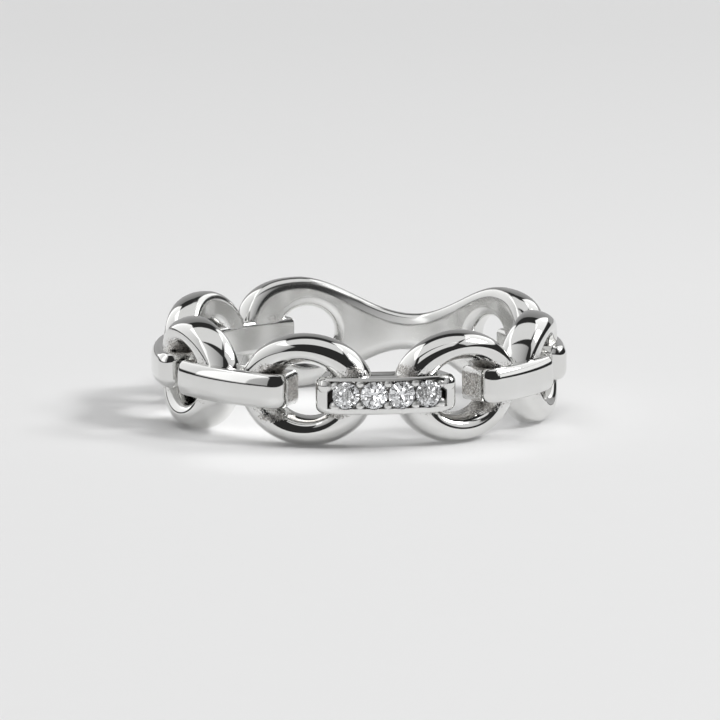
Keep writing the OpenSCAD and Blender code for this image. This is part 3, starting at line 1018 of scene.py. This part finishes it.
# each softbox: heading from the camera's own side, to its right; distance out and height of its
# middle; width and height, with lengths in metres; brightness; which way it faces; how the
# brightness goes along its width, and from its foot to its top; and the only pieces it lights,
# where black flags keep it off the others
softboxes = {
    "topSoftbox": (-152, 0.13, 0.5, 0.72, 0.41, 0.8, "down", even, even, ringSet),
    "leftSoftbox": (-101, 0.5, 0.42, 1.28, 0.76, 1.25, "level", (1.0, 0.25), even, ringSet),
    "rightSoftbox": (112, 0.5, 0.5, 1.07, 0.6, 1.25, "level", (0.5, 1.0), even, ringSet),
    "keySoftbox": (103, 0.4, 0.34, 0.2, 0.2, 10.0, "ring", even, even, ringSet),
    "backWall": (180, 0.9, 0.39, 1.3, 0.78, 0.4, "level", even, (1.0, 0.5), ringSet),
    "frontFill": (-16, 0.38, 0.32, 0.96, 0.62, 0.9, "ring", (1.0, 0.25), even,
                  sideSet + stoneSet),
    "rightLinkFill": (12, 0.22, 0.45, 0.6, 0.24, 0.8, "ring", even, even, ["link_right"]),
    "leftBarFill": (-84, 0.5, 0.36, 0.35, 0.68, 0.55, "level", even, even,
                    ["bar_front_left", "bar_left"]),
    "rightBarFill": (111, 0.5, 0.14, 0.7, 0.14, 1.0, "level", even, even, ["bar_right"]),
    "sparkLeft": (-38, 0.45, 0.3, 0.1, 0.1, 6.0, "ring", even, even, stones),
    "sparkRight": (24, 0.38, 0.45, 0.1, 0.1, 6.0, "ring", even, even, stones),
    "sparkLow": (6, 0.5, 0.14, 0.12, 0.1, 5.0, "ring", even, even, stones),
    "floorFill": (0, 0.0, 0.6, 0.9, 0.9, 1.42, "down", even, even, ["floor"]),
    "floorTop": (-150, 0.13, 0.5, 0.5, 0.4, 0.4, "down", even, even, ["floor"]),
    "floorKeyNear": (66, 0.4, 0.37, 0.15, 0.1, 27.0, "ring", even, even, ["floor"]),
    "floorKeyFar": (102, 0.42, 0.33, 0.14, 0.12, 14.0, "ring", even, even, ["floor"]),
}
# the light that the polished links throw on the floor, which a render with few samples leaves
# out: how far the middle of each pool is to the right and towards the camera, and its radius, in
# millimetres, and how much it adds to the floor's brightness
pools = {
    "leftPool": (-4.8, 13.8, 5.2, 0.11),
    "rightPool": (5.6, 10.9, 4.8, 0.08),
    "sidePool": (-10.5, -1.2, 2.7, 0.42),
    "barPool": (-6.6, 6.4, 4.0, 0.22),
    "leftHolePool": (-2.8, -4.5, 3.6, 0.16),
    "rightHolePool": (4.8, -5.5, 3.6, 0.16),
    "rightLinkPool": (8.8, 4.4, 3.4, 0.15),
}


def pose(obj, place, back):
    # puts an object at a place with its +Z along back, and its +X level
    z = back.normalized()
    x = Vector((0, 0, 1)).cross(z)
    x = x.normalized() if x.length > 1e-6 else heading(90)
    obj.matrix_world = Matrix.Translation(place) @ Matrix((x, z.cross(x), z)).transposed().to_4x4()


def lightOnly(obj, names, shaded=True):
    group = bpy.data.collections.new(obj.name + "Pieces")
    for name in names:
        group.objects.link(pieces[name])
    obj.light_linking.receiver_collection = group
    if not shaded:
        obj.light_linking.blocker_collection = group  # no other piece casts a shadow in it


def softbox(name, turn, out, up, width, height, brightness, faces, along, upwards, names):
    light = bpy.data.lights.new(name, "AREA")
    light.shape = "RECTANGLE"
    light.size = width * studio["scale"]
    light.size_y = height * studio["scale"]
    light.energy = brightness * light.size * light.size_y * math.pi  # watts for that brightness
    light.use_nodes = True
    tree = light.node_tree
    tree.nodes.clear()
    sheet = addNode(tree, "ShaderNodeNewGeometry")
    spot = addNode(tree, "ShaderNodeSeparateXYZ", links={0: sheet.outputs["Parametric"]})
    glow = None
    for axis, (first, last) in (("X", along), ("Y", upwards)):
        ramp = addNode(tree, "ShaderNodeMapRange", None, {"To Min": first, "To Max": last},
                       {"Value": spot.outputs[axis]})
        off = addNode(tree, "ShaderNodeMath", {"operation": "SUBTRACT"}, {1: 0.5},
                      {0: spot.outputs[axis]})
        side = addNode(tree, "ShaderNodeMath", {"operation": "ABSOLUTE"}, links={0: off.outputs[0]})
        fade = addNode(tree, "ShaderNodeMapRange", {"interpolation_type": "SMOOTHSTEP"},
                       {"From Min": 0.5, "From Max": 0.5 - studio["feather"]},
                       {"Value": side.outputs[0]})
        part = addNode(tree, "ShaderNodeMath", {"operation": "MULTIPLY"},
                       links={0: ramp.outputs["Result"], 1: fade.outputs["Result"]})
        if glow:
            part = addNode(tree, "ShaderNodeMath", {"operation": "MULTIPLY"},
                           links={0: glow.outputs[0], 1: part.outputs[0]})
        glow = part
    lamp = addNode(tree, "ShaderNodeEmission", links={"Strength": glow.outputs[0]})
    addNode(tree, "ShaderNodeOutputLight", links={"Surface": lamp.outputs["Emission"]})
    obj = bpy.data.objects.new(name, light)
    bpy.context.scene.collection.objects.link(obj)
    place = (heading(turn) * out + Vector((0, 0, up))) * studio["scale"]
    backs = {"down": Vector((0, 0, 1)), "level": heading(turn), "ring": place}
    pose(obj, place, backs[faces])
    lightOnly(obj, names, name not in studio["unshaded"])


def pool(name, right, near, radius, glow):
    high = studio["poolHigh"]
    light = bpy.data.lights.new(name, "SPOT")
    light.spot_size = 2 * math.atan(radius * mm / high)
    light.spot_blend = 1.0
    light.shadow_soft_size = 0.0
    light.energy = glow * 4 * math.pi ** 2 * high ** 2
    obj = bpy.data.objects.new(name, light)
    bpy.context.scene.collection.objects.link(obj)
    place = (heading(90) * right + heading(0) * near - Vector((0, 0, ringHalf))) * mm
    pose(obj, place + Vector((0, 0, high)), Vector((0, 0, 1)))
    lightOnly(obj, ["floor"], False)


def makeFloor():
    n = studio["floorHalf"] / mm
    z = -ringHalf
    obj = meshObject("floor", [(-n, -n, z), (n, -n, z), (n, n, z), (-n, n, z)], [(0, 1, 2, 3)])
    obj.data.materials.append(sprayedStudioBoard())
    pieces["floor"] = obj


makeFloor()
for name, values in softboxes.items():
    softbox(name, *values)
for name, values in pools.items():
    pool(name, *values)

world = bpy.data.worlds.new("studioRoom")
world.use_nodes = True
world.node_tree.nodes["Background"].inputs["Color"].default_value = (*[studio["room"]] * 3, 1)
bpy.context.scene.world = world
bpy.context.scene.view_settings.view_transform = "Standard"
print("studio made, with", len(softboxes), "softboxes and", len(pools), "pools")

lens = {
    "elevation": 9.97,
    "distance": 1.5,  # metres
    "pixelsPerMm": 18.886,
    "imageSize": 720,
    "centreX": 358.9,  # where the ring's middle lies in the image
    "centreY": 360.0,
    "sensor": 36.0,
    "clip": (0.1, 10),  # metres
}
camera = bpy.data.objects.new("camera", bpy.data.cameras.new("camera"))
bpy.context.scene.collection.objects.link(camera)
span = lens["imageSize"] / lens["pixelsPerMm"] * mm
camera.data.sensor_width = lens["sensor"]
camera.data.lens = lens["sensor"] * lens["distance"] / span
camera.data.shift_x = (lens["imageSize"] / 2 - lens["centreX"]) / lens["imageSize"]
camera.data.shift_y = (lens["centreY"] - lens["imageSize"] / 2) / lens["imageSize"]
camera.data.clip_start, camera.data.clip_end = lens["clip"]
rise = math.radians(lens["elevation"])
towards = heading(0) * math.cos(rise) + Vector((0, 0, math.sin(rise)))
pose(camera, towards * lens["distance"], towards)
bpy.context.scene.camera = camera
